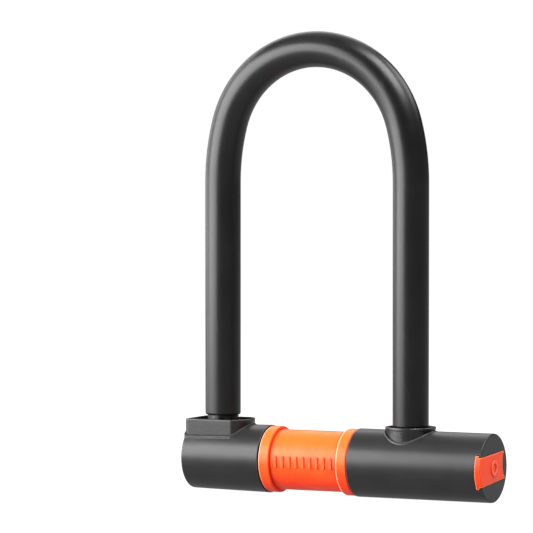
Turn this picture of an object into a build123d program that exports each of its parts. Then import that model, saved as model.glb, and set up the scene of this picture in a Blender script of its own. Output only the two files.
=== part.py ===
"""U lock: a covered steel shackle on a keyed crossbar, as separate named pieces.

Frame: millimetres, +Z up along the shackle legs, +X towards the keyed end, -Y is the front.
The origin is on the crossbar axis, in the middle of the orange bracket seat.
At rest the lock is closed, the bolt is turned to its open position and the dust cover is shut.
"""
import os
from math import cos, radians, sin

from build123d import *

# ---------------------------------------------------------------- driving dimensions
# Shackle
LEG_SPACING = 110.0
ROD_R = 7.5
SLEEVE_R = 9.5
STRAIGHT_TOP = 147.0        # height where the legs start to bend
SHOULDER_R = 121.0          # large bend between each leg and the crown
SHOULDER_ANGLE = 15.0
FOOT_BOTTOM = -8.6
SLEEVE_END_LEFT = 22.6
SLEEVE_END_RIGHT = 19.4

# Crossbar
COVER_R = 18.0
LEFT_END_R = 17.3           # the left cover narrows slightly towards its closed end
COVER_LEFT = -71.8
COVER_RIGHT = 102.0
TUBE_R = 14.2
TUBE_BORE_R = 11.2
TUBE_LEFT = -67.5
TUBE_RIGHT = 97.0
FIT = 0.05                  # gap between pieces pushed over one another
SLIDE = 0.3                 # gap around moving pieces

# Orange bracket seat
SEAT_HALF = 25.5
FLANGE_R = 17.6
FLANGE_W = 6.0
SEAT_R = 16.0
RIB_COUNT = 9
RIB_PITCH = 4.0

# Sockets the feet enter
RECESS_DEPTH = 2.5
BLOCK_TOP = 20.7
BLOCK_HALF_Y = 12.8
BLOCK_NOSE_R = 17.2
BLOCK_WALL = 1.5
BLOCK_CORNER = 2.5
COLLAR_TOP = 19.9
COLLAR_R = 13.3
COLLAR_WALL_R = 12.9
COLLAR_RECESS_R = 11.3
BEAD_H = 1.5
BLOCK_LIP_W = 1.0
BLOCK_LIP_RISE = 0.6
COLLAR_LIP_W = 0.6
COLLAR_LIP_RISE = 0.3
SEAL_T = 1.6

# Bolt and cylinder
BOLT_R = 5.0
BOLT_FLAT = 5.5             # thickness left between the flats at each foot
PLUG_R = 6.0
PLUG_FACE = 98.6
HOUSING_START = 76.5
HOUSING_PIN_X = 78.7
KEYWAY_W = 2.4
KEYWAY_H = 8.0
PIN_X = [82.0 + 3.2 * i for i in range(5)]
PIN_R = 1.25
TURN_GAP = 0.05             # running fit of turning pieces
DETENT_X = 41.5
BALL_R = 1.5
BALL_Z = BOLT_R + BALL_R - 0.5

# Dust cover
COVER_SLOT_FLOOR = 99.9
SLOT_TILT = 4.0             # the slot rises slightly towards the back
COVER_FRONT_HALF = 7.7
COVER_BACK_HALF = 7.2
COVER_BACK_Y = 13.8
FOLD_LEN = 2.8              # length of the lip folded onto the side
FOLD_HALF = 8.8
RAIL_HALF = 9.3
RAIL_FRONT_Y = -14.2
RAIL_BACK_Y = 10.6
STOP_Y = -8.6
STOP_Z = 7.4
DUST_TRAVEL = 17.0
PLATE_TOP = COVER_RIGHT + 0.3
SLOT_GAP = 0.15

LEG_X = LEG_SPACING / 2
LEFT_COVER_LEN = -SEAT_HALF - 0.5 - COVER_LEFT

os.makedirs("parts", exist_ok=True)


def save(builder, name):
    """Label one finished piece and write it to its own file."""
    builder.part.label = name
    export_step(builder.part, f"parts/{name}.step")


def shackle_path(z_left, z_right):
    """Draw the shackle centreline between the two leg ends."""
    offset = (SHOULDER_R - LEG_X) / cos(radians(SHOULDER_ANGLE))
    crown_r = SHOULDER_R - offset
    crown_z = STRAIGHT_TOP + offset * sin(radians(SHOULDER_ANGLE))
    crown_sweep = 180 - 2 * SHOULDER_ANGLE
    Line((LEG_X, z_right), (LEG_X, STRAIGHT_TOP))
    CenterArc((LEG_X - SHOULDER_R, STRAIGHT_TOP), SHOULDER_R, 0, SHOULDER_ANGLE)
    CenterArc((0, crown_z), crown_r, SHOULDER_ANGLE, crown_sweep)
    CenterArc((SHOULDER_R - LEG_X, STRAIGHT_TOP), SHOULDER_R, 180 - SHOULDER_ANGLE, SHOULDER_ANGLE)
    Line((-LEG_X, STRAIGHT_TOP), (-LEG_X, z_left))


def turned(x_start, x_end, radius, mode=Mode.ADD):
    """Add or cut a cylinder along the crossbar axis."""
    with Locations(((x_start + x_end) / 2, 0, 0)):
        Cylinder(radius, x_end - x_start, rotation=(0, 90, 0), mode=mode)


def upright(x, y, z_start, z_end, radius, mode=Mode.ADD):
    """Add or cut a cylinder along Z."""
    with Locations((x, y, (z_start + z_end) / 2)):
        Cylinder(radius, z_end - z_start, mode=mode)


def slot_plane(x):
    """Plane across the crossbar at x, turned with the dust cover slot."""
    return Plane.YZ.offset(x).rotated((SLOT_TILT, 0, 0))


def block_outline(extra):
    """Outline of the block in plan with rounded corners, grown outwards by extra."""
    half = BLOCK_HALF_Y + extra
    nose_r = BLOCK_NOSE_R + extra
    nose_x = (nose_r**2 - half**2) ** 0.5 - LEG_X
    left = COVER_LEFT - extra
    with BuildLine() as outline:
        Polyline((nose_x, half), (left, half), (left, -half), (nose_x, -half))
        ThreePointArc((nose_x, -half), (nose_r - LEG_X, 0), (nose_x, half))
    face = make_face(outline.edges())
    fillet(face.vertices(), BLOCK_CORNER + extra)


def plate_outline(extra, front_y, back_y):
    """Outline of the tapered dust cover plate in the YZ plane, hollow at the back edge."""
    taper = (COVER_FRONT_HALF - COVER_BACK_HALF) / (COVER_BACK_Y + COVER_R)
    front = COVER_FRONT_HALF + extra - taper * (front_y + COVER_R)
    back = COVER_FRONT_HALF + extra - taper * (back_y + COVER_R)
    with BuildLine() as outline:
        Polyline((back_y, back), (front_y, front), (front_y, -front), (back_y, -back))
        ThreePointArc((back_y, -back), (back_y - 2.6, 0), (back_y, back))
    make_face(outline.edges())


def coil(x, z_start, z_end, radius, wire_r, turns):
    """Add one upright coil spring."""
    height = z_end - z_start - 2 * wire_r
    with BuildLine() as centre:
        Helix(height / turns, height, radius, center=(x, 0, z_start + wire_r))
    with BuildSketch(Plane(origin=centre.line @ 0, z_dir=centre.line % 0)) as wire:
        Circle(wire_r)
    sweep(wire.sketch, path=centre.line)


# ---------------------------------------------------------------- shackle
# Steel rod with a fork at each foot: a downward throat that opens into a round seat for the bolt.
with BuildPart() as shackle_rod:
    with BuildLine(Plane.XZ) as rod_line:
        shackle_path(FOOT_BOTTOM, FOOT_BOTTOM)
    with BuildSketch(Plane.XY.offset(FOOT_BOTTOM)):
        with Locations((LEG_X, 0)):
            Circle(ROD_R)
    sweep(path=rod_line.wires()[0])
    foot_edges = shackle_rod.edges().filter_by(GeomType.CIRCLE).group_by(Axis.Z)[0]
    chamfer(foot_edges, 1.2)
    for x in (-LEG_X, LEG_X):
        with BuildSketch(Plane.YZ.offset(x - ROD_R - 1)):
            Circle(BOLT_R + SLIDE)
            with Locations((0, FOOT_BOTTOM)):
                Rectangle(BOLT_FLAT + 0.7, -2 * FOOT_BOTTOM)
        extrude(amount=2 * ROD_R + 2, mode=Mode.SUBTRACT)
save(shackle_rod, "shackle_rod")

# Soft black sleeve over the rod; its two ends stop at slightly different heights.
with BuildPart() as shackle_sleeve:
    with BuildLine(Plane.XZ) as sleeve_line:
        shackle_path(SLEEVE_END_LEFT, SLEEVE_END_RIGHT)
    with BuildSketch(Plane.XY.offset(SLEEVE_END_RIGHT)):
        with Locations((LEG_X, 0)):
            Circle(SLEEVE_R)
            Circle(ROD_R, mode=Mode.SUBTRACT)
    sweep(path=sleeve_line.wires()[0])
    end_rings = shackle_sleeve.edges().filter_by(GeomType.CIRCLE)
    outer_rings = [e for e in end_rings if abs(e.radius - SLEEVE_R) < 0.01 and e.center().Z < 30]
    fillet(outer_rings, 1.2)
save(shackle_sleeve, "shackle_sleeve")

# ---------------------------------------------------------------- crossbar structure
# Hardened tube with one foot hole at each end.
with BuildPart() as crossbar_tube:
    turned(TUBE_LEFT, TUBE_RIGHT, TUBE_R)
    turned(TUBE_LEFT, TUBE_RIGHT, TUBE_BORE_R, Mode.SUBTRACT)
    for x in (-LEG_X, LEG_X):
        upright(x, 0, 0, 2 * TUBE_R, ROD_R + SLIDE, Mode.SUBTRACT)
    upright(HOUSING_PIN_X, 0, -TUBE_R - 1, 0, 1.5, Mode.SUBTRACT)
save(crossbar_tube, "crossbar_tube")

# Two cast blocks inside the tube: each holds one foot and lets the bolt pass.
with BuildPart() as foot_carriers:
    for x in (-LEG_X, LEG_X):
        turned(x - 10, x + 10, TUBE_BORE_R)
        turned(x - 10, x + 10, BOLT_R + 0.4, Mode.SUBTRACT)
        upright(x, 0, FOOT_BOTTOM - 0.6, 2 * TUBE_R, ROD_R + SLIDE, Mode.SUBTRACT)
save(foot_carriers, "foot_carriers")

# Plug that closes the tube behind the left cover.
with BuildPart() as left_end_plug:
    turned(TUBE_LEFT - 1, TUBE_LEFT, TUBE_R)
    turned(TUBE_LEFT, -LEG_X - 10, TUBE_BORE_R)
save(left_end_plug, "left_end_plug")

# ---------------------------------------------------------------- sockets
# Block on the left: flat front and back, a round nose, and an open tray around the foot hole.
with BuildPart() as left_socket_block:
    with BuildSketch(Plane.XY):
        block_outline(0)
    extrude(amount=BLOCK_TOP)
    fillet(left_socket_block.faces().sort_by(Axis.Z)[-1].edges(), 0.5)
    with BuildSketch(Plane.XY.offset(BLOCK_TOP - RECESS_DEPTH)):
        block_outline(-BLOCK_WALL)
    extrude(amount=RECESS_DEPTH + 1, mode=Mode.SUBTRACT)
    upright(-LEG_X, 0, 0, BLOCK_TOP, ROD_R + SLIDE, Mode.SUBTRACT)
    turned(COVER_LEFT - 1, 0, TUBE_R + FIT, Mode.SUBTRACT)
save(left_socket_block, "left_socket_block")

# Round collar on the right, with a bead around its rim.
with BuildPart() as right_collar:
    upright(LEG_X, 0, 0, COLLAR_TOP - BEAD_H, COLLAR_WALL_R)
    upright(LEG_X, 0, COLLAR_TOP - BEAD_H, COLLAR_TOP, COLLAR_R)
    rim = right_collar.edges().filter_by(GeomType.CIRCLE)
    fillet([e for e in rim if abs(e.radius - COLLAR_R) < 0.01], 0.3)
    upright(LEG_X, 0, COLLAR_TOP - RECESS_DEPTH, COLLAR_TOP + 1, COLLAR_RECESS_R, Mode.SUBTRACT)
    upright(LEG_X, 0, 0, COLLAR_TOP, ROD_R + SLIDE, Mode.SUBTRACT)
    turned(0, COVER_RIGHT, TUBE_R + FIT, Mode.SUBTRACT)
save(right_collar, "right_collar")

# Rubber wiper ring on each socket floor; the left one has a ribbed neck up to the sleeve end.
with BuildPart() as foot_seals:
    for x, top in ((-LEG_X, BLOCK_TOP), (LEG_X, COLLAR_TOP)):
        upright(x, 0, top - RECESS_DEPTH, top - RECESS_DEPTH + SEAL_T, 9.6)
    neck_start = BLOCK_TOP - RECESS_DEPTH + SEAL_T
    upright(-LEG_X, 0, neck_start, SLEEVE_END_LEFT - 0.2, 8.0)
    for i in range(3):
        rib_start = neck_start + 0.3 + 0.8 * i
        upright(-LEG_X, 0, rib_start, rib_start + 0.4, 8.4)
    for x in (-LEG_X, LEG_X):
        upright(x, 0, 0, 2 * COVER_R, ROD_R + 0.1, Mode.SUBTRACT)
save(foot_seals, "foot_seals")

# ---------------------------------------------------------------- plastic covers
# Raised lips that frame the two windows in the covers.
with BuildPart() as block_lip:
    with BuildSketch(Plane.XY):
        block_outline(BLOCK_LIP_W)
    extrude(amount=2 * COVER_R)
    with Locations((COVER_LEFT + LEFT_COVER_LEN / 2, 0, 0)):
        Cone(
            LEFT_END_R + BLOCK_LIP_RISE,
            COVER_R + BLOCK_LIP_RISE,
            LEFT_COVER_LEN,
            rotation=(0, 90, 0),
            mode=Mode.INTERSECT,
        )

with BuildPart() as collar_lip:
    upright(LEG_X, 0, 0, 2 * COVER_R, COLLAR_R + COLLAR_LIP_W)
    turned(0, COVER_RIGHT, COVER_R + COLLAR_LIP_RISE, Mode.INTERSECT)

# Left cover: a tapered cup over the tube end, open where the block comes through.
with BuildPart() as left_cover:
    with Locations((COVER_LEFT + LEFT_COVER_LEN / 2, 0, 0)):
        Cone(LEFT_END_R, COVER_R, LEFT_COVER_LEN, rotation=(0, 90, 0))
    fillet(left_cover.edges().filter_by(GeomType.CIRCLE).sort_by(Axis.X)[0], 1.2)
    add(block_lip.part)
    with BuildSketch(Plane.XY):
        block_outline(FIT)
    extrude(amount=2 * COVER_R, mode=Mode.SUBTRACT)
    turned(COVER_LEFT, TUBE_LEFT, TUBE_R + FIT)
    turned(TUBE_LEFT - 1, 0, TUBE_R + FIT, Mode.SUBTRACT)
save(left_cover, "left_cover")

# Right cover: a cup with a lipped round window, a keyway opening and the dust cover slot.
with BuildPart() as right_cover:
    turned(SEAT_HALF + 0.5, COVER_RIGHT, COVER_R)
    fillet(right_cover.edges().filter_by(GeomType.CIRCLE).sort_by(Axis.X)[-1], 0.6)
    add(collar_lip.part)
    turned(0, TUBE_RIGHT + 0.1, TUBE_R + FIT, Mode.SUBTRACT)
    turned(TUBE_RIGHT, PLUG_FACE + FIT, TUBE_BORE_R + FIT, Mode.SUBTRACT)
    upright(LEG_X, 0, 0, COVER_R + 5, COLLAR_R + FIT, Mode.SUBTRACT)
    turned(PLUG_FACE, COVER_RIGHT, PLUG_R + 0.9, Mode.SUBTRACT)
    with BuildSketch(slot_plane(COVER_SLOT_FLOOR)):
        plate_outline(SLOT_GAP, -2 * COVER_R, COVER_BACK_Y + SLOT_GAP)
    extrude(amount=5, mode=Mode.SUBTRACT)
    with BuildSketch(slot_plane(COVER_SLOT_FLOOR)):
        with Locations(((RAIL_BACK_Y + SLOT_GAP) / 2 - COVER_R, 0)):
            Rectangle(RAIL_BACK_Y + SLOT_GAP + 2 * COVER_R, 2 * (RAIL_HALF + SLOT_GAP))
    extrude(amount=1.1, mode=Mode.SUBTRACT)
    with BuildSketch(slot_plane(COVER_RIGHT - FOLD_LEN - 0.2)):
        with Locations((-2 * COVER_R, 0)):
            Rectangle(4 * COVER_R, 2 * (FOLD_HALF + 0.3))
        Circle(COVER_R - 0.6, mode=Mode.SUBTRACT)
    extrude(amount=5, mode=Mode.SUBTRACT)
    with BuildSketch(slot_plane(PLUG_FACE)):
        with Locations((STOP_Y, STOP_Z)):
            Circle(0.8)
    extrude(amount=COVER_SLOT_FLOOR - PLUG_FACE, mode=Mode.SUBTRACT)
save(right_cover, "right_cover")

# ---------------------------------------------------------------- orange bracket seat
with BuildPart() as grip_sleeve:
    turned(-SEAT_HALF, SEAT_HALF, SEAT_R)
    for x_start in (-SEAT_HALF, SEAT_HALF - FLANGE_W):
        turned(x_start, x_start + FLANGE_W, FLANGE_R)
    rings = grip_sleeve.edges().filter_by(GeomType.CIRCLE)
    fillet([e for e in rings if abs(e.radius - FLANGE_R) < 0.01], 0.6)
    for i in range(RIB_COUNT):
        with BuildSketch(Plane.XZ):
            with Locations(((i - (RIB_COUNT - 1) / 2) * RIB_PITCH, 0)):
                SlotOverall(6.2, 1.5, rotation=90)
        extrude(amount=SEAT_R + 0.45)
    turned(-SEAT_HALF, SEAT_HALF, TUBE_R + FIT, Mode.SUBTRACT)
save(grip_sleeve, "grip_sleeve")

# ---------------------------------------------------------------- dust cover
# Plate on the end face, hidden guide rail below it, and a lip folded onto the side of the cover.
with BuildPart() as dust_cover:
    with BuildSketch(slot_plane(COVER_SLOT_FLOOR + 0.9)):
        plate_outline(0, -COVER_R - 1.0, COVER_BACK_Y)
    extrude(amount=PLATE_TOP - COVER_SLOT_FLOOR - 0.9)
    with BuildSketch(slot_plane(COVER_RIGHT - FOLD_LEN)):
        with Locations((-COVER_R, 0)):
            Rectangle(2 * COVER_R, 2 * FOLD_HALF)
        Circle(COVER_R - 0.5, mode=Mode.SUBTRACT)
    extrude(amount=COVER_SLOT_FLOOR + 0.9 - COVER_RIGHT + FOLD_LEN)
    with BuildSketch(slot_plane(COVER_SLOT_FLOOR + 0.1)):
        with Locations(((RAIL_BACK_Y + RAIL_FRONT_Y) / 2, 0)):
            Rectangle(RAIL_BACK_Y - RAIL_FRONT_Y, 2 * RAIL_HALF)
    extrude(amount=0.8)
    with BuildSketch(slot_plane(COVER_RIGHT - 5)):
        Circle(3 * COVER_R)
        Circle(COVER_R + 0.6, mode=Mode.SUBTRACT)
    extrude(amount=10, mode=Mode.SUBTRACT)
    arcs = dust_cover.edges().filter_by(GeomType.CIRCLE)
    fold = [e for e in arcs if abs(e.center().X - PLATE_TOP) < 0.01 and e.center().Y < 0]
    fillet(fold, 0.5)
    with BuildSketch(slot_plane(PLATE_TOP)):
        Circle(4.0)
    extrude(amount=0.5)
    with BuildSketch(slot_plane(PLATE_TOP + 0.5)):
        Circle(2.7)
    extrude(amount=-0.5, mode=Mode.SUBTRACT)
    with BuildSketch(slot_plane(COVER_SLOT_FLOOR + 0.1)):
        with Locations((STOP_Y + DUST_TRAVEL / 2, STOP_Z)):
            SlotOverall(DUST_TRAVEL + 2.4, 2.2)
    extrude(amount=0.9, mode=Mode.SUBTRACT)
save(dust_cover, "dust_cover")

# Small pin that limits the travel of the dust cover.
with BuildPart() as dust_cover_stop:
    with BuildSketch(slot_plane(PLUG_FACE)):
        with Locations((STOP_Y, STOP_Z)):
            Circle(0.8)
    extrude(amount=COVER_SLOT_FLOOR + 0.8 - PLUG_FACE)
save(dust_cover_stop, "dust_cover_stop")

# ---------------------------------------------------------------- bolt
with BuildPart() as locking_bar:
    turned(-LEG_X - 9.5, LEG_X + 10.8, BOLT_R)
    for x in (-LEG_X, LEG_X):
        with BuildSketch(Plane.XZ.offset(-BOLT_R - 1)):
            with Locations((x, 0)):
                Rectangle(18, 2 * BOLT_R + 2)
        extrude(amount=BOLT_R + 1 - BOLT_FLAT / 2, mode=Mode.SUBTRACT)
        with BuildSketch(Plane.XZ.offset(BOLT_R + 1)):
            with Locations((x, 0)):
                Rectangle(18, 2 * BOLT_R + 2)
        extrude(amount=-(BOLT_R + 1 - BOLT_FLAT / 2), mode=Mode.SUBTRACT)
    with BuildSketch(Plane.XZ):
        with Locations((DETENT_X, BALL_Z)):
            Circle(BALL_R + 0.05)
    revolve(axis=Axis.X, mode=Mode.SUBTRACT)
    with BuildSketch(Plane.YZ.offset(LEG_X + 10.8)):
        Rectangle(4.0, 8.4)
    extrude(amount=4.0)
save(locking_bar, "locking_bar")

with BuildPart() as bar_bushes:
    for x_start in (-LEG_X + 10, LEG_X - 17):
        turned(x_start, x_start + 7, TUBE_BORE_R)
        turned(x_start, x_start + 7, BOLT_R + TURN_GAP, Mode.SUBTRACT)
        upright(x_start + 3.5, 0, 0, TUBE_BORE_R + 1, BALL_R + 0.1, Mode.SUBTRACT)
save(bar_bushes, "bar_bushes")

with BuildPart() as detent_ball:
    with Locations((DETENT_X, 0, BALL_Z)):
        Sphere(BALL_R)
save(detent_ball, "detent_ball")


with BuildPart() as detent_spring:
    coil(DETENT_X, BALL_Z + BALL_R, TUBE_BORE_R - FIT, 1.1, 0.25, 4)
save(detent_spring, "detent_spring")

# ---------------------------------------------------------------- lock cylinder
with BuildPart() as cylinder_housing:
    turned(HOUSING_START, PLUG_FACE, TUBE_BORE_R)
    turned(HOUSING_START, PLUG_FACE, PLUG_R + TURN_GAP, Mode.SUBTRACT)
    turned(PLUG_FACE - 1.15, PLUG_FACE, PLUG_R + 1.1, Mode.SUBTRACT)
    for x in PIN_X:
        upright(x, 0, 0, TUBE_BORE_R + 1, PIN_R + TURN_GAP, Mode.SUBTRACT)
    upright(HOUSING_PIN_X, 0, -TUBE_BORE_R - 1, -8.0, 1.5, Mode.SUBTRACT)
save(cylinder_housing, "cylinder_housing")

# Cross pin through the tube wall that holds the housing.
with BuildPart() as housing_pin:
    upright(HOUSING_PIN_X, 0, -TUBE_R + 0.2, -8.0, 1.5)
save(housing_pin, "housing_pin")

with BuildPart() as cylinder_plug:
    turned(HOUSING_START - 1.0, PLUG_FACE - 1.1, PLUG_R)
    turned(PLUG_FACE - 1.1, PLUG_FACE, PLUG_R + 1.0)
    fillet(cylinder_plug.edges().filter_by(GeomType.CIRCLE).sort_by(Axis.X)[-1], 0.3)
    with BuildSketch(Plane.YZ.offset(HOUSING_START - 0.6)):
        Circle(PLUG_R + 1)
        Circle(PLUG_R - 0.8, mode=Mode.SUBTRACT)
    extrude(amount=0.6, mode=Mode.SUBTRACT)
    with BuildSketch(Plane.YZ.offset(HOUSING_START - 1.0)):
        Rectangle(4.0, 8.4)
    extrude(amount=-4.0)
    with BuildSketch(Plane.YZ.offset(HOUSING_START + 3)):
        Rectangle(KEYWAY_W, KEYWAY_H)
        with Locations((KEYWAY_W / 2, -1.6)):
            Rectangle(1.6, 2.0)
    extrude(amount=30, mode=Mode.SUBTRACT)
    for x in PIN_X:
        upright(x, 0, 0, PLUG_R + 1, PIN_R + TURN_GAP, Mode.SUBTRACT)
save(cylinder_plug, "cylinder_plug")

# Open ring that keeps the plug in its housing.
with BuildPart() as plug_clip:
    turned(HOUSING_START - 0.55, HOUSING_START - FIT, PLUG_R + 1.2)
    turned(HOUSING_START - 0.55, HOUSING_START - FIT, PLUG_R - 0.75, Mode.SUBTRACT)
    with BuildSketch(Plane.YZ.offset(HOUSING_START - 1)):
        with Locations((0, -PLUG_R)):
            Rectangle(3.0, 4.0)
    extrude(amount=1, mode=Mode.SUBTRACT)
save(plug_clip, "plug_clip")

with BuildPart() as key_pins:
    for i, x in enumerate(PIN_X):
        upright(x, 0, 1.0 + 0.45 * (i % 3), PLUG_R - 0.2, PIN_R)
    fillet(key_pins.edges().filter_by(GeomType.CIRCLE).filter_by(lambda e: e.center().Z < 3), 0.5)
save(key_pins, "key_pins")

with BuildPart() as driver_pins:
    for x in PIN_X:
        upright(x, 0, PLUG_R + 0.1, PLUG_R + 2.5, PIN_R)
save(driver_pins, "driver_pins")

with BuildPart() as pin_springs:
    for x in PIN_X:
        coil(x, PLUG_R + 2.5, TUBE_BORE_R - FIT, 0.95, 0.18, 4)
save(pin_springs, "pin_springs")

# Sleeve that joins the flat tongue of the plug to the flat tongue of the bolt.
with BuildPart() as drive_coupler:
    turned(LEG_X + 11.2, HOUSING_START - 1.5, PLUG_R + 1.5)
    with BuildSketch(Plane.YZ.offset(LEG_X + 11.2)):
        Rectangle(4.2, 8.6)
    extrude(amount=20, mode=Mode.SUBTRACT)
save(drive_coupler, "drive_coupler")
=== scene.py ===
from math import cos, pi, radians, sin

import bpy
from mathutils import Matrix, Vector


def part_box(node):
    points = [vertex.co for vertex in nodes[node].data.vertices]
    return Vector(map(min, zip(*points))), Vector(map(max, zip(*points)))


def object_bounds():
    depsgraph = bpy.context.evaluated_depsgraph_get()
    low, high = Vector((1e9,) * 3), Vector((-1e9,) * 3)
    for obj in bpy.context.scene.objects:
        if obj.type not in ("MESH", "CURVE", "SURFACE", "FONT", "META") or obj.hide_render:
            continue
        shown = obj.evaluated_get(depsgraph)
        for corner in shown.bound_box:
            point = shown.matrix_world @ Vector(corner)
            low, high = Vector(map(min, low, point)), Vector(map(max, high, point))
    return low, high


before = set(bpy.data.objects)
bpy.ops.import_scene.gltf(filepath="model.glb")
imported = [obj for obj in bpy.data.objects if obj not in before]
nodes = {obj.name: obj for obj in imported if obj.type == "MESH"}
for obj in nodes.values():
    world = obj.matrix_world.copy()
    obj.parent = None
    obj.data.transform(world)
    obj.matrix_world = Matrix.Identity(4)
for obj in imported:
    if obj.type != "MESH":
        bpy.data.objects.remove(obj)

MM = 0.001
cad_low, cad_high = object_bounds()

# ---------------------------------------------------------------- settings
# Camera, at the photograph's viewing angle: degrees, metres and millimetres of lens
CAMERA_AZIMUTH = 26.39
CAMERA_ELEVATION = 2.2
CAMERA_DISTANCE = 1.998
CAMERA_TARGET = (-0.02907, 0.0, 0.10223)
CAMERA_LENS = 253.9
SENSOR_WIDTH = 36
CLIP_NEAR = 0.01
CLIP_FAR = 200

# Studio: name, azimuth, distance, height, width, tall, radiance
SOFTBOXES = (
    ("key", -47, 0.94, 0.38, 1.03, 0.74, 11.8),
    ("left", -105, 1.0, 0.45, 0.75, 0.8, 2.4),
    ("back_left", -150, 1.2, 0.85, 0.9, 0.7, 1.8),
    ("back_right", 142, 1.0, 0.95, 0.7, 0.6, 4.5),
    ("top", -150, 0.5, 0.95, 0.8, 0.9, 0.7),
    ("right_high", 75, 0.5, 0.95, 0.6, 0.6, 14.0),
    ("high_left", -47, 0.62, 1.1, 0.8, 0.5, 0.7),
    ("low_left", -72, 0.5, 0.06, 0.6, 0.14, 2.6),
)
FLOOR_SIZE = 60
FLOOR_GAP = 0.2 * MM
FLOOR_GLOW = 1.0
FLOOR_LIGHT = 0.48
ROOM_LIGHT = 0.03
BACKGROUND = 1.0

# Radius of softened edges and of edges with a painted highlight, and how near a surface is that masks a
# rim or paints shade into a corner
SOFT_EDGE_MM = 0.5
METAL_EDGE_MM = 0.2
HIGHLIGHT_EDGE_MM = 0.9
RIM_REACH_MM = 0.6
CORNER_REACH_MM = 4


# ---------------------------------------------------------------- shader helpers
def new_material(name):
    """Make an empty material with one surface shader; returns the material, its tree and the shader."""
    material = bpy.data.materials.new(name)
    material.use_nodes = True
    tree = material.node_tree
    tree.nodes.clear()
    output = tree.nodes.new("ShaderNodeOutputMaterial")
    surface = tree.nodes.new("ShaderNodeBsdfPrincipled")
    tree.links.new(surface.outputs["BSDF"], output.inputs["Surface"])
    return material, tree, surface


def grey(value):
    """A neutral colour."""
    return (value, value, value)


def place(tree, stretch=(1, 1, 1)):
    """Object coordinates in metres, multiplied along each axis, so that below 1 draws marks out long."""
    coordinates = tree.nodes.new("ShaderNodeTexCoord")
    mapping = tree.nodes.new("ShaderNodeMapping")
    mapping.inputs["Scale"].default_value = stretch
    tree.links.new(coordinates.outputs["Object"], mapping.inputs["Vector"])
    return mapping.outputs["Vector"]


def noise(tree, size_mm, detail, stretch=(1, 1, 1)):
    """Noise from 0 to 1 with features of about size_mm."""
    texture = tree.nodes.new("ShaderNodeTexNoise")
    texture.inputs["Scale"].default_value = 1 / (size_mm * MM)
    texture.inputs["Detail"].default_value = detail
    texture.inputs["Roughness"].default_value = 0.55
    tree.links.new(place(tree, stretch), texture.inputs["Vector"])
    return texture.outputs["Fac"]


def remap(tree, value, low, high, out_low, out_high):
    """Map a value from one range to another, clamped."""
    node = tree.nodes.new("ShaderNodeMapRange")
    node.inputs["From Min"].default_value = low
    node.inputs["From Max"].default_value = high
    node.inputs["To Min"].default_value = out_low
    node.inputs["To Max"].default_value = out_high
    tree.links.new(value, node.inputs["Value"])
    return node.outputs["Result"]


def combine(tree, operation, a, b):
    """Join two values; each is a socket or a number."""
    node = tree.nodes.new("ShaderNodeMath")
    node.operation = operation
    for socket, value in zip(node.inputs, (a, b)):
        if isinstance(value, (int, float)):
            socket.default_value = value
        else:
            tree.links.new(value, socket)
    return node.outputs["Value"]


def mix(tree, factor, a, b):
    """Blend two colours; each is a socket or a colour."""
    node = tree.nodes.new("ShaderNodeMix")
    node.data_type = "RGBA"
    tree.links.new(factor, node.inputs["Factor"])
    for socket, value in ((node.inputs[6], a), (node.inputs[7], b)):
        if isinstance(value, tuple):
            socket.default_value = (*value, 1.0)
        else:
            tree.links.new(value, socket)
    return node.outputs[2]


def split(tree, vector):
    """The X, Y and Z outputs of a vector."""
    node = tree.nodes.new("ShaderNodeSeparateXYZ")
    tree.links.new(vector, node.inputs["Vector"])
    return node.outputs


def bump(tree, height, depth_mm, normal):
    """Bump on top of a normal, from a height of 0 to 1, depth_mm deep."""
    node = tree.nodes.new("ShaderNodeBump")
    node.inputs["Strength"].default_value = 1.0
    node.inputs["Distance"].default_value = depth_mm * MM
    tree.links.new(height, node.inputs["Height"])
    tree.links.new(normal, node.inputs["Normal"])
    return node.outputs["Normal"]


def rounded(tree, radius_mm):
    """Shading normal that rounds sharp edges."""
    node = tree.nodes.new("ShaderNodeBevel")
    node.samples = 6
    node.inputs["Radius"].default_value = radius_mm * MM
    return node.outputs["Normal"]


def openness(tree, reach_mm):
    """1 in the open, lower in corners and gaps within reach_mm of other surfaces."""
    node = tree.nodes.new("ShaderNodeAmbientOcclusion")
    node.samples = 8
    node.inputs["Distance"].default_value = reach_mm * MM
    return node.outputs["AO"]


def edges(tree, rounded_normal):
    """1 along every sharp edge and corner, 0 on flat faces."""
    geometry = tree.nodes.new("ShaderNodeNewGeometry")
    dot = tree.nodes.new("ShaderNodeVectorMath")
    dot.operation = "DOT_PRODUCT"
    tree.links.new(rounded_normal, dot.inputs[0])
    tree.links.new(geometry.outputs["Normal"], dot.inputs[1])
    return remap(tree, dot.outputs["Value"], 0.85, 0.99, 1.0, 0.0)


def rims(tree, rounded_normal):
    """1 along outer edges and 0 on flat faces and in corners."""
    in_open = remap(tree, openness(tree, RIM_REACH_MM), 0.7, 0.9, 0, 1)
    return combine(tree, "MULTIPLY", edges(tree, rounded_normal), in_open)


def flange_highlight_mask(tree, rounded_normal):
    """1 along the flange edges that face the closed end, towards the lamps: where a pale highlight is
    painted.
    """
    flange_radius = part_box("grip_sleeve")[1].z
    position = split(tree, place(tree))
    squares = (combine(tree, "POWER", position[axis], 2) for axis in ("Y", "Z"))
    radius = combine(tree, "SQRT", combine(tree, "ADD", *squares), 0)
    outer = remap(tree, radius, flange_radius - 0.5 * MM, flange_radius - 0.3 * MM, 0, 1)
    # Painted highlight only on the edges that face the lamps.
    faces_left_lamps = remap(tree, split(tree, rounded_normal)["X"], -0.05, -0.3, 0, 1)
    return combine(tree, "MULTIPLY", outer, faces_left_lamps)


def underside_shade_mask(tree):
    """0 on surfaces that face up, rising to 1 on those that face well down: where shade is painted."""
    geometry = tree.nodes.new("ShaderNodeNewGeometry")
    return remap(tree, split(tree, geometry.outputs["Normal"])["Z"], 0.3, -0.75, 0, 1)


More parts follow.
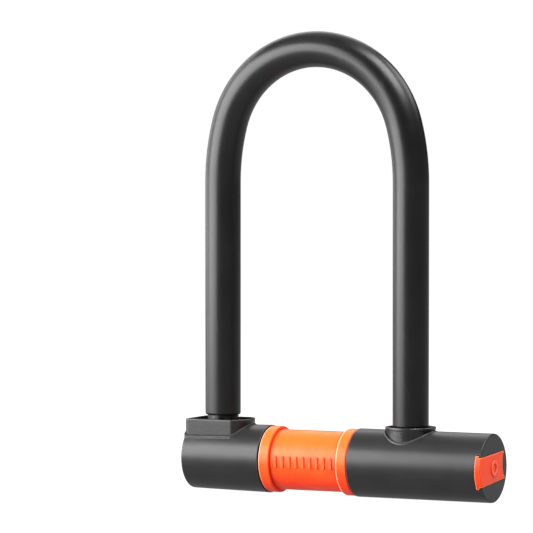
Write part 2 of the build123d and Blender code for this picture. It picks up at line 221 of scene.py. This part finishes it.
def grained(tree, grain, rough):
    """Make a roughness vary a little with the grain."""
    return combine(tree, "ADD", rough, remap(tree, grain, 0.3, 0.7, -0.03, 0.03))


# ---------------------------------------------------------------- materials
def sleeve_vinyl():
    """Soft black vinyl: satin, slightly uneven along its length, with faint rub marks."""
    material, tree, surface = new_material("sleeve_vinyl")
    cloudy = noise(tree, 22, 3)
    grain = noise(tree, 0.5, 2)
    rub = noise(tree, 5, 4, (1, 1, 0.12))
    tone = remap(tree, cloudy, 0.35, 0.65, 0, 1)
    colour = mix(tree, tone, (0.0035, 0.0036, 0.0042), (0.0055, 0.0055, 0.0062))
    colour = mix(tree, remap(tree, rub, 0.62, 0.78, 0, 0.35), colour, (0.03, 0.03, 0.032))
    rough = grained(tree, grain, remap(tree, cloudy, 0.3, 0.7, 0.31, 0.36))
    rough = combine(tree, "ADD", rough, remap(tree, rub, 0.6, 0.8, 0, 0.08))
    waves = bump(tree, noise(tree, 9, 1, (1, 1, 0.5)), 0.02, rounded(tree, 0.3))
    surface.inputs["Specular IOR Level"].default_value = 0.35
    tree.links.new(colour, surface.inputs["Base Color"])
    tree.links.new(rough, surface.inputs["Roughness"])
    tree.links.new(bump(tree, grain, 0.006, waves), surface.inputs["Normal"])
    return material


def moulded_black(name, base, edge_highlight, roughness, grain_mm, specular):
    """Moulded black plastic: fine spark-eroded grain, faint flow marks, polished edges and a painted
    highlight along them.
    """
    material, tree, surface = new_material(name)
    soft_edges = rounded(tree, SOFT_EDGE_MM)
    rim = rims(tree, soft_edges)
    cloudy = noise(tree, 14, 3)
    flow = noise(tree, 3, 3, (0.06, 1, 1))
    grain = noise(tree, grain_mm, 2)
    lighter = tuple(channel * 1.35 for channel in base)
    colour = mix(tree, remap(tree, cloudy, 0.35, 0.65, 0, 1), base, lighter)
    # Painted highlight: the colour turns lighter along the outer edges.
    colour = mix(tree, combine(tree, "MULTIPLY", rim, 0.8), colour, edge_highlight)
    rough = grained(tree, grain, remap(tree, flow, 0.3, 0.7, *roughness))
    rough = combine(tree, "SUBTRACT", rough, combine(tree, "MULTIPLY", rim, 0.08))
    surface.inputs["Specular IOR Level"].default_value = specular
    tree.links.new(colour, surface.inputs["Base Color"])
    tree.links.new(rough, surface.inputs["Roughness"])
    tree.links.new(bump(tree, grain, 0.008, soft_edges), surface.inputs["Normal"])
    return material


def moulded_orange(name, lit_colour, shaded_colour, edge_highlight, highlight_mask_of, roughness, grain_mm, specular):
    """Moulded orange plastic: a painted highlight along its rims, and painted shade that turns it deeper
    red underneath and in corners.
    """
    material, tree, surface = new_material(name)
    soft_edges = rounded(tree, SOFT_EDGE_MM)
    rim = highlight_mask_of(tree, rounded(tree, HIGHLIGHT_EDGE_MM))
    cloudy = noise(tree, 12, 3)
    grain = noise(tree, grain_mm, 2)
    dust = noise(tree, 1.6, 5, (0.5, 1, 1))
    # Painted shade: the colour turns deeper red on surfaces that face down, with a little random tone on
    # top.
    tone = combine(tree, "ADD", underside_shade_mask(tree), remap(tree, cloudy, 0.3, 0.7, -0.12, 0.12))
    # Painted shade: deep red in corners and near other surfaces.
    corner = remap(tree, openness(tree, CORNER_REACH_MM), 0.5, 0.95, 1, 0)
    colour = mix(tree, tone, lit_colour, shaded_colour)
    colour = mix(tree, corner, colour, (0.85, 0.014, 0.002))
    colour = mix(tree, remap(tree, dust, 0.64, 0.74, 0, 0.18), colour, (0.55, 0.07, 0.02))
    # Painted highlight: pale colour along the rims that the mask picks out.
    colour = mix(tree, combine(tree, "MULTIPLY", rim, 0.6), colour, edge_highlight)
    rough = grained(tree, grain, remap(tree, cloudy, 0.3, 0.7, *roughness))
    surface.inputs["Specular IOR Level"].default_value = specular
    surface.inputs["Subsurface Weight"].default_value = 0.5
    surface.inputs["Subsurface Radius"].default_value = (1.0, 0.12, 0.03)
    surface.inputs["Subsurface Scale"].default_value = 4 * MM
    tree.links.new(colour, surface.inputs["Base Color"])
    tree.links.new(rough, surface.inputs["Roughness"])
    tree.links.new(bump(tree, grain, 0.008, soft_edges), surface.inputs["Normal"])
    return material


def metal(name, light, dark, roughness, marks_run, marks_mm, metallic=1.0):
    """Machined or cast metal: tool marks or cast grain, stains and lighter edges."""
    material, tree, surface = new_material(name)
    soft_edges = rounded(tree, METAL_EDGE_MM)
    rim = rims(tree, soft_edges)
    marks = noise(tree, marks_mm, 3, marks_run)
    stains = noise(tree, 4, 4)
    colour = mix(tree, remap(tree, stains, 0.4, 0.68, 0, 1), light, dark)
    colour = mix(tree, combine(tree, "MULTIPLY", rim, 0.5), colour, light)
    rough = remap(tree, marks, 0.3, 0.7, *roughness)
    rough = combine(tree, "ADD", rough, remap(tree, stains, 0.4, 0.7, 0, 0.08))
    surface.inputs["Metallic"].default_value = metallic
    tree.links.new(colour, surface.inputs["Base Color"])
    tree.links.new(rough, surface.inputs["Roughness"])
    tree.links.new(bump(tree, marks, 0.006, soft_edges), surface.inputs["Normal"])
    return material


def seal_rubber():
    """Wiped black rubber with a little dust in its pores."""
    material, tree, surface = new_material("seal_rubber")
    pores = noise(tree, 0.4, 3)
    dust = noise(tree, 2.5, 4)
    dusty = remap(tree, dust, 0.55, 0.8, 0, 0.4)
    colour = mix(tree, dusty, (0.0015, 0.0015, 0.0015), (0.015, 0.014, 0.013))
    tree.links.new(colour, surface.inputs["Base Color"])
    tree.links.new(remap(tree, pores, 0.3, 0.7, 0.24, 0.4), surface.inputs["Roughness"])
    tree.links.new(bump(tree, pores, 0.02, rounded(tree, 0.2)), surface.inputs["Normal"])
    return material


# ---------------------------------------------------------------- finishes on the pieces
# Which way tool marks run
ROUND_LEGS = (1, 1, 8)
ROUND_X = (6, 0.3, 0.3)
EVEN = (1, 1, 1)

vinyl = sleeve_vinyl()
# Each plastic's edge colour below is a painted highlight, and the orange ones' deep colour is painted
# shade.
cover_plastic = moulded_black(
    "cover_plastic",
    base=(0.009, 0.0093, 0.009),
    edge_highlight=grey(0.16),
    roughness=(0.34, 0.39),
    grain_mm=0.35,
    specular=0.35,
)
block_plastic = moulded_black(
    "block_plastic",
    base=grey(0.009),
    edge_highlight=grey(0.2),
    roughness=(0.28, 0.34),
    grain_mm=0.3,
    specular=0.5,
)
collar_plastic = moulded_black(
    "collar_plastic",
    base=grey(0.002),
    edge_highlight=grey(0.25),
    roughness=(0.26, 0.31),
    grain_mm=0.3,
    specular=0.6,
)
seat_orange = moulded_orange(
    "seat_orange",
    lit_colour=(0.9, 0.13, 0.013),
    # Deeper red of the painted shade underneath
    shaded_colour=(0.88, 0.038, 0.003),
    edge_highlight=(1.0, 0.65, 0.42),
    highlight_mask_of=flange_highlight_mask,
    roughness=(0.36, 0.42),
    grain_mm=0.35,
    specular=0.26,
)
dust_orange = moulded_orange(
    "dust_orange",
    lit_colour=(0.95, 0.065, 0.013),
    # Deeper red of the painted shade underneath
    shaded_colour=(0.9, 0.04, 0.006),
    edge_highlight=(1.0, 0.5, 0.24),
    highlight_mask_of=rims,
    roughness=(0.26, 0.32),
    grain_mm=0.5,
    specular=0.15,
)
black_steel = metal(
    "black_steel",
    light=(0.06, 0.06, 0.062),
    dark=(0.02, 0.02, 0.021),
    roughness=(0.25, 0.4),
    marks_run=ROUND_LEGS,
    marks_mm=1.5,
    metallic=0.6,
)
ground_steel = metal(
    "ground_steel",
    light=(0.62, 0.62, 0.63),
    dark=(0.4, 0.4, 0.41),
    roughness=(0.22, 0.36),
    marks_run=ROUND_X,
    marks_mm=1.5,
)
cast_zinc = metal(
    "cast_zinc",
    light=(0.5, 0.5, 0.51),
    dark=(0.34, 0.34, 0.35),
    roughness=(0.42, 0.55),
    marks_run=EVEN,
    marks_mm=0.5,
)
brass = metal(
    "brass",
    light=(0.72, 0.47, 0.16),
    dark=(0.5, 0.31, 0.1),
    roughness=(0.24, 0.36),
    marks_run=ROUND_X,
    marks_mm=1.5,
)
rubber = seal_rubber()

FINISHES = {
    "shackle_sleeve": vinyl,
    "left_cover": cover_plastic,
    "right_cover": cover_plastic,
    "left_socket_block": block_plastic,
    "right_collar": collar_plastic,
    "grip_sleeve": seat_orange,
    "dust_cover": dust_orange,
    "shackle_rod": black_steel,
    "crossbar_tube": ground_steel,
    "locking_bar": ground_steel,
    "dust_cover_stop": ground_steel,
    "detent_ball": ground_steel,
    "detent_spring": ground_steel,
    "housing_pin": ground_steel,
    "plug_clip": ground_steel,
    "pin_springs": ground_steel,
    "foot_carriers": cast_zinc,
    "left_end_plug": cast_zinc,
    "cylinder_housing": cast_zinc,
    "drive_coupler": cast_zinc,
    "bar_bushes": brass,
    "cylinder_plug": brass,
    "key_pins": brass,
    "driver_pins": brass,
    "foot_seals": rubber,
}
for name, material in FINISHES.items():
    nodes[name].material_slots[0].material = material


# ---------------------------------------------------------------- studio
def direction(azimuth, elevation):
    """Unit vector from the object; azimuth 0 is the front and 90 the keyed end."""
    turn = radians(azimuth)
    rise = radians(elevation)
    return Vector((sin(turn) * cos(rise), -cos(turn) * cos(rise), sin(rise)))


def aim(thing, target):
    """Turn a light or camera towards a point."""
    thing.rotation_mode = "QUATERNION"
    thing.rotation_quaternion = (Vector(target) - thing.location).to_track_quat("-Z", "Y")


def softbox(name, azimuth, distance, height, width, tall, radiance):
    """Rectangular light aimed at the middle of the object, hidden from the camera."""
    data = bpy.data.lights.new(name, "AREA")
    data.shape = "RECTANGLE"
    data.size = width
    data.size_y = tall
    data.energy = radiance * width * tall * pi
    light = bpy.data.objects.new(name, data)
    bpy.context.scene.collection.objects.link(light)
    light.location = direction(azimuth, 0) * distance + Vector((0, 0, height))
    aim(light, (cad_low + cad_high) / 2)
    light.visible_camera = False


def floor():
    """Plain pale floor just under the crossbar, softly lit from within so that it stays even."""
    material = bpy.data.materials.new("floor_paper")
    material.use_nodes = True
    tree = material.node_tree
    surface = tree.nodes["Principled BSDF"]
    paper = remap(tree, noise(tree, 60, 3), 0.3, 0.7, 0, 1)
    colour = mix(tree, paper, (0.09, 0.09, 0.091), grey(0.1))
    tree.links.new(colour, surface.inputs["Base Color"])
    surface.inputs["Roughness"].default_value = 0.9
    surface.inputs["Specular IOR Level"].default_value = 0.1
    surface.inputs["Emission Color"].default_value = (1, 1, 1, 1)
    rays = tree.nodes.new("ShaderNodeLightPath")
    glow = remap(tree, rays.outputs["Is Camera Ray"], 0, 1, FLOOR_LIGHT, FLOOR_GLOW)
    tree.links.new(glow, surface.inputs["Emission Strength"])
    bpy.ops.mesh.primitive_plane_add(size=FLOOR_SIZE, location=(0, 0, cad_low.z - FLOOR_GAP))
    plane = bpy.context.object
    plane.name = "floor"
    plane.data.materials.append(material)


def room():
    """White behind the object, dim for the light it gives."""
    world = bpy.data.worlds.new("room")
    bpy.context.scene.world = world
    world.use_nodes = True
    tree = world.node_tree
    tree.nodes.clear()
    rays = tree.nodes.new("ShaderNodeLightPath")
    choose = tree.nodes.new("ShaderNodeMixShader")
    tree.links.new(rays.outputs["Is Camera Ray"], choose.inputs["Fac"])
    for socket, brightness in ((choose.inputs[1], ROOM_LIGHT), (choose.inputs[2], BACKGROUND)):
        background = tree.nodes.new("ShaderNodeBackground")
        background.inputs["Color"].default_value = (*grey(brightness), 1)
        tree.links.new(background.outputs["Background"], socket)
    output = tree.nodes.new("ShaderNodeOutputWorld")
    tree.links.new(choose.outputs["Shader"], output.inputs["Surface"])


def main_camera():
    """Camera at the photograph's viewing angle; plain colours, with no film curve."""
    data = bpy.data.cameras.new("camera")
    data.lens = CAMERA_LENS
    data.sensor_width = SENSOR_WIDTH
    data.clip_start = CLIP_NEAR
    data.clip_end = CLIP_FAR
    camera = bpy.data.objects.new("camera", data)
    bpy.context.scene.collection.objects.link(camera)
    away = direction(CAMERA_AZIMUTH, CAMERA_ELEVATION) * CAMERA_DISTANCE
    camera.location = Vector(CAMERA_TARGET) + away
    aim(camera, CAMERA_TARGET)
    bpy.context.scene.camera = camera
    bpy.context.scene.view_settings.view_transform = "Standard"


for box in SOFTBOXES:
    softbox(*box)
floor()
room()
main_camera()
